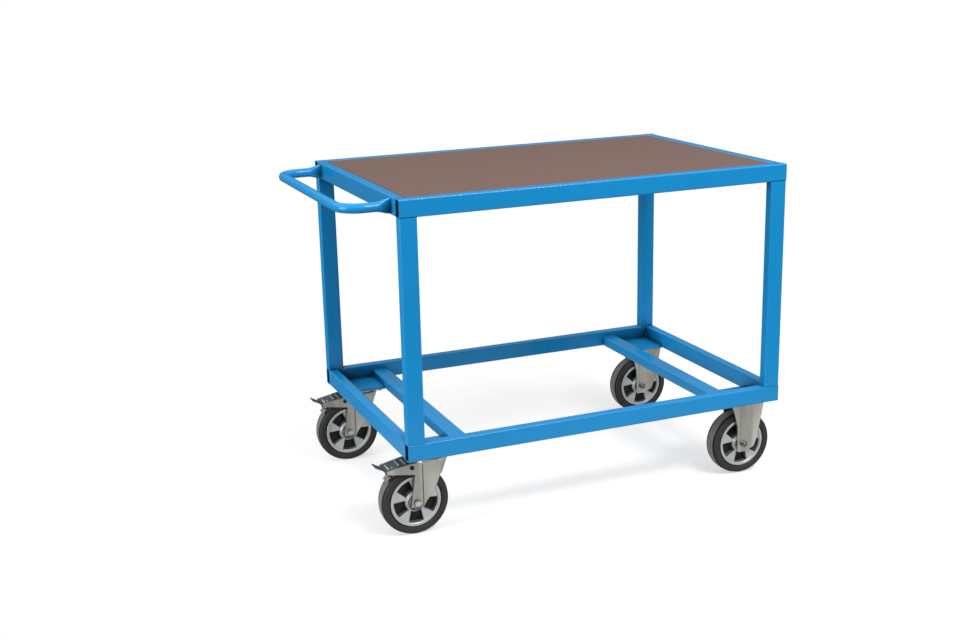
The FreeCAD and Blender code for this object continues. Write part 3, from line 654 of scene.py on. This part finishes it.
def ribs_shape():
    """Three grip ribs across the tread, each (place, width, length), and a small stud, all bright as painted
    highlights.
    """
    height, edge_round, proud, reach = 2.6, 0.9, 0.1, 1.0
    ribs = []
    for behind, width, length in ((16.0, 3.2, 48.0), (34.0, 3.2, 42.0), (63.0, 5.0, 36.0)):
        fall = pedal_top(behind - reach) - pedal_top(behind + reach)
        spot = Vector((-behind, 0.0, pedal_top(behind) + proud))
        tilt = Matrix.Rotation(-math.atan2(fall, 2 * reach), 4, "Y")
        rib = rounded_block((width, length, height), edge_round)
        ribs.append(moved(rib, Matrix.Translation(spot) @ tilt))
    stud_behind, stud_side = 53.0, 15.0
    stud = turned([(2.8, -1.0), (2.8, 0.6), (2.2, 1.2), (0.8, 1.5)])
    stud_spot = Matrix.Translation((-stud_behind, -stud_side, pedal_top(stud_behind)))
    stud = moved(stud, stud_spot @ Matrix.Rotation(math.radians(90), 4, "X"))
    return joined(ribs + [stud])


def add_pedals():
    enamel = [finish["dark_pedal_paint"]]
    plate = make_mesh("pedal_plate", pedal_shape(), enamel, crease_degrees=40.0)
    blade = make_mesh("pedal_blade", blade_shape(), enamel)
    # The ribs and stud take the bright aluminium as painted highlights on the dark pedal
    ribs = make_mesh("pedal_ribs", ribs_shape(), [finish["cast_aluminium"]])
    for name in SWIVEL:
        place = middle("pedal_pin_" + name)
        body = "pedal_" + name
        pedal = add_piece("pressed_pedal_" + name, plate, body, ["brake_pedal_" + name],
                          place)
        thicken = pedal.modifiers.new("sheet_thickness", "SOLIDIFY")
        thicken.thickness = PEDAL_SHEET * MM
        thicken.offset = 0.0
        add_piece("pedal_toe_blade_" + name, blade, body, place=place)
        add_piece("pedal_grip_ribs_" + name, ribs, body, place=place)


# Brake shoes
def shoe_shape():
    """A curved shoe over the tyre and its stem, about the wheel's middle."""
    inner, outer, half_width, toe, edge = 105.0, 109.0, 15.0, 1.2, 1.5
    shoe_turn, half_turn, steps = math.radians(135.0), math.radians(5.0), 8
    rings = []
    for step in range(steps + 1):
        turn = shoe_turn + half_turn * (2 * step / steps - 1)
        reach = [(inner, -half_width), (inner, half_width), (inner + toe, half_width),
                 (outer, half_width - edge), (outer, edge - half_width), (inner + toe, -half_width)]
        rings.append([(radius * math.cos(turn), y, radius * math.sin(turn)) for radius, y in reach])
    foot, head, stem_x, stem_width, stem_thickness, stem_round = 77.0, 103.0, -76.0, 16.0, 4.0, 1.2
    stem = rounded_block((stem_thickness, stem_width, head - foot), stem_round)
    return joined([capped(rings), moved(stem, Matrix.Translation((stem_x, 0.0, (foot + head) / 2)))])


def add_shoes():
    mesh = make_mesh("brake_shoe", shoe_shape(), [finish["zinc_pressed_steel"]])
    for name in SWIVEL:
        add_piece("curved_brake_shoe_" + name, mesh, "pedal_" + name,
                  ["brake_shoe_" + name], middle("tyre_" + name))


# Dark strips of painted shade along the seams where the raised panels of the forks meet their cheeks
def seam(path, side, width):
    """A thin strip along an (x, z) path on one cheek, left of the way it runs as seen from the front."""
    sunk, proud = 33.6, 34.8
    rings = []
    for index, (x, z) in enumerate(path):
        before, after = Vector(path[max(0, index - 1)]), Vector(path[min(len(path) - 1, index + 1)])
        along = (after - before).normalized()
        edge_x, edge_z = x - width * along.y, z + width * along.x
        rings.append([(x, side * sunk, z), (edge_x, side * sunk, edge_z), (edge_x, side * proud, edge_z),
                      (x, side * proud, z)])
    return capped(rings)


def seam_pair(path, width):
    """The same strip on both cheeks."""
    return joined([seam(path, -1, width), seam(path, 1, width)])


def add_seams():
    """The swivel forks' seam turns a round corner under the axle; the fixed forks' seam is straight."""
    swivel_width, fixed_width = 2.4, 1.6
    crease, bottom, top, corner, end = 18.0, -13.0, 112.0, 9.0, -16.0
    corner_steps = 8
    path = [(crease, top), (crease, bottom + corner)]
    for step in range(1, corner_steps + 1):
        turn = math.radians(90 * step / corner_steps)
        path.append((crease - corner + corner * math.cos(turn), bottom + corner - corner * math.sin(turn)))
    path.append((end, bottom))
    # The near-black strips stand for the shadow line at the panels' raised edges: painted shade
    mesh = make_mesh("swivel_seam_shade", seam_pair(path, swivel_width), [black_oxide_and_seam_shade])
    for name in SWIVEL:
        add_piece("fork_panel_seam_shade_" + name, mesh, "fork_" + name,
                  place=middle("tyre_" + name))
    strip_x, strip_top, strip_bottom = -13.0, 134.0, -4.0
    path = [(strip_x, strip_top), (strip_x, strip_bottom)]
    # The fixed forks' strip is painted shade too, in the darker zinc
    mesh = make_mesh("fixed_seam_shade", seam_pair(path, fixed_width), [shaded_zinc_finish])
    for name in FIXED:
        add_piece("fork_strip_seam_shade_" + name, mesh, "frame",
                  place=middle("tyre_" + name))


# Weld beads in the inner corners of the frame
def bead(start, end):
    """A rippled round bead between two points."""
    radius, ripple, fewest, sides = 2.6, 3.0, 6, 10
    valley, tip = 0.86, 0.55
    start, end = Vector(start), Vector(end)
    along = end - start
    steps = max(fewest, int(along.length / ripple)) * 2
    side = along.orthogonal().normalized()
    other = along.normalized().cross(side)
    rings = []
    for step in range(steps + 1):
        share = step / steps
        swell = radius * (1.0 if step % 2 else valley) * (tip if step in (0, steps) else 1.0)
        spot = start + along * share
        rings.append([spot + (side * math.cos(turn) + other * math.sin(turn)) * swell
                      for turn in (2 * math.pi * index / sides for index in range(sides))])
    return capped(rings)


def add_welds():
    """Beads round the legs, the end rails and the cross members, short of the tubes' round edges."""
    inset, upper_stop = 5.0, 24.0
    beads = []
    for side in ("front", "rear"):
        for end in ("left", "right"):
            low, high = (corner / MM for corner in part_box("leg_" + side + "_" + end))
            x = high.x if end == "left" else low.x
            y = high.y if side == "front" else low.y
            for z in (low.z, high.z):
                beads.append(bead((x, low.y + inset, z), (x, high.y - inset, z)))
            for level in ("lower_rail_", "top_rail_"):
                low, high = (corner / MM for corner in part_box(level + end))
                x = high.x if end == "left" else low.x
                beads.append(bead((x, y, low.z + inset), (x, y, high.z - upper_stop)))
            low, high = (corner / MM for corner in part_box("cross_member_" + end))
            beads.append(bead((low.x + inset, y, high.z), (high.x - inset, y, high.z)))
    mesh = make_mesh("weld_beads", joined(beads), [finish["blue_paint"]], crease_degrees=60.0)
    add_piece("frame_weld_beads", mesh, "frame")


add_wheels()
add_fasteners()
add_handle()
add_pedals()
add_shoes()
add_seams()
add_welds()


# Stage: pale floor, soft studio light and the camera at the photograph's viewing angle
def add_floor():
    """A pale floor that fades out into the white of the studio."""
    size, near, far, cover = 2.4, 0.85, 1.55, 0.5
    middle_of_floor = (0.3, -0.35, 0.0)
    corners = [(-size, -size, 0), (size, -size, 0), (size, size, 0), (-size, size, 0)]
    mesh = bpy.data.meshes.new("floor")
    mesh.from_pydata(corners, [], [(0, 1, 2, 3)])
    floor = bpy.data.objects.new("floor", mesh)
    bpy.context.collection.objects.link(floor)
    material, tree, shader, place = new_material("pale_floor", Roughness=0.9, Specular_IOR_Level=0.1)
    colour = mottle(tree, place, patch=400.0, dark="#f4f4f4", light="#f9f9f9")
    tree.links.new(colour, shader.inputs["Base Color"])
    distance = add_node(tree, "ShaderNodeVectorMath", {0: place, 1: middle_of_floor}, operation="DISTANCE")
    shown = add_node(tree, "ShaderNodeMapRange", {"Value": distance.outputs["Value"], "From Min": near,
                                                  "From Max": far, "To Min": cover, "To Max": 0.0},
                     interpolation_type="SMOOTHSTEP")
    tree.links.new(shown.outputs["Result"], shader.inputs["Alpha"])
    mesh.materials.append(material)


def add_softbox(name, place, target, size, power):
    """A rectangular lamp that faces a point and doesn't show itself."""
    light = bpy.data.lights.new(name, "AREA")
    light.shape = "RECTANGLE"
    light.size, light.size_y = size
    light.energy = power
    lamp = bpy.data.objects.new(name, light)
    bpy.context.collection.objects.link(lamp)
    lamp.location = place
    lamp.visible_camera = False
    lamp.rotation_euler = (Vector(target) - Vector(place)).to_track_quat("-Z", "Y").to_euler()


def add_world():
    """A studio dome, bright overhead and dim at the horizon, in front of a white background."""
    horizon, overhead, background_white = 0.11, 1.2, 1.0
    low_sky, high_sky = 0.12, 0.85
    world = bpy.data.worlds.new("white_studio")
    world.use_nodes = True
    tree = world.node_tree
    way = add_node(tree, "ShaderNodeTexCoord").outputs["Generated"]
    height = add_node(tree, "ShaderNodeSeparateXYZ", {"Vector": way}).outputs["Z"]
    dome = add_node(tree, "ShaderNodeMapRange", {"Value": height, "From Min": low_sky, "From Max": high_sky,
                                                 "To Min": horizon, "To Max": overhead},
                    interpolation_type="SMOOTHSTEP").outputs["Result"]
    seen = add_node(tree, "ShaderNodeLightPath").outputs["Is Camera Ray"]
    strength = add_node(tree, "ShaderNodeMix", {"Factor": seen, VALUE_A: dome, VALUE_B: background_white})
    background = tree.nodes["Background"]
    background.inputs["Color"].default_value = (1.0, 1.0, 1.0, 1.0)
    tree.links.new(strength.outputs[VALUE_MIX], background.inputs["Strength"])
    bpy.context.scene.world = world


def add_camera():
    """The viewpoint that was fitted to the edges of the frame in the photograph."""
    azimuth, elevation, roll = (math.radians(angle) for angle in (-22.118, 15.334, -1.366))
    place = Vector((-1.6259, -3.6341, 1.5771))
    back = Vector((math.sin(azimuth) * math.cos(elevation), -math.cos(azimuth) * math.cos(elevation),
                   math.sin(elevation)))
    right = Vector((math.cos(azimuth), math.sin(azimuth), 0))
    up = back.cross(right)
    turned_right = right * math.cos(roll) + up * math.sin(roll)
    turned_up = up * math.cos(roll) - right * math.sin(roll)
    data = bpy.data.cameras.new("camera")
    data.sensor_fit = "HORIZONTAL"
    data.sensor_width = 36.0
    data.lens = 49.84
    data.clip_end = 100.0
    camera = bpy.data.objects.new("camera", data)
    bpy.context.collection.objects.link(camera)
    facing = Matrix((turned_right, turned_up, back)).transposed().to_4x4()
    camera.matrix_world = Matrix.Translation(place) @ facing
    bpy.context.scene.camera = camera


add_floor()
add_world()
bench_middle = (0.0, 0.0, 0.5)
add_softbox("key_softbox", place=(1.1, -3.3, 4.0), target=bench_middle, size=(2.0, 1.0), power=185.0)
add_softbox("left_fill", place=(-4.0, -0.7, 1.3), target=bench_middle, size=(1.6, 2.4), power=130.0)
add_camera()
bpy.context.scene.view_settings.view_transform = "Standard"
